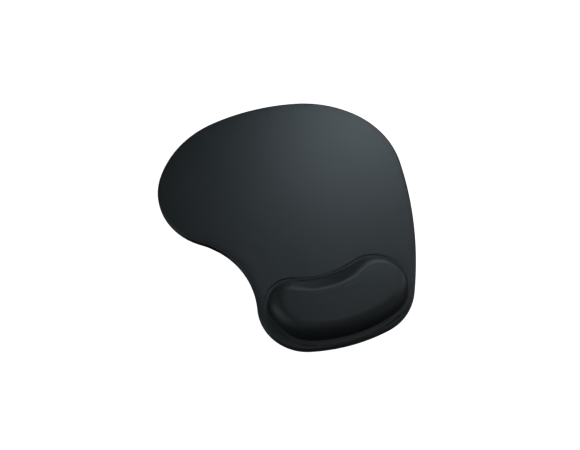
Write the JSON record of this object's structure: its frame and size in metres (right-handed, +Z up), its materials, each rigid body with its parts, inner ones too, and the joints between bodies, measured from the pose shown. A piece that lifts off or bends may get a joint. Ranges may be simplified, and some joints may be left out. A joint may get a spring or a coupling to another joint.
{
  "type": "mouse pad with gel wrist rest",
  "caption": "Low free-form desk mat with a raised, kidney-shaped gel cushion at its front edge that carries the wrist while the hand moves a mouse.",
  "frame": {"origin": "on the table, under the middle of the mat's own width and length", "axes": "+X to the right along the cushion, +Y away from the user, +Z up"},
  "size_m": [0.22, 0.25, 0.02],
  "materials": {
    "base_rubber": "matte soft polyurethane with a fine moulded grip pattern",
    "bond_film": "translucent hot-melt film",
    "foam": "fine closed-cell foam",
    "pouch_film": "clear glossy film",
    "gel": "soft translucent gel",
    "cover_fabric": "black fine stretch knit with a faint cool sheen"
  },
  "bodies": {
    "root": {"base_mat": "base_rubber", "base_bond_film": "bond_film", "foam_sheet": "foam", "gel_lower_film": "pouch_film", "gel_upper_film": "pouch_film", "gel_core": "gel", "cover_bond_film": "bond_film", "cover_fabric": "cover_fabric"}
  },
  "joints": []
}
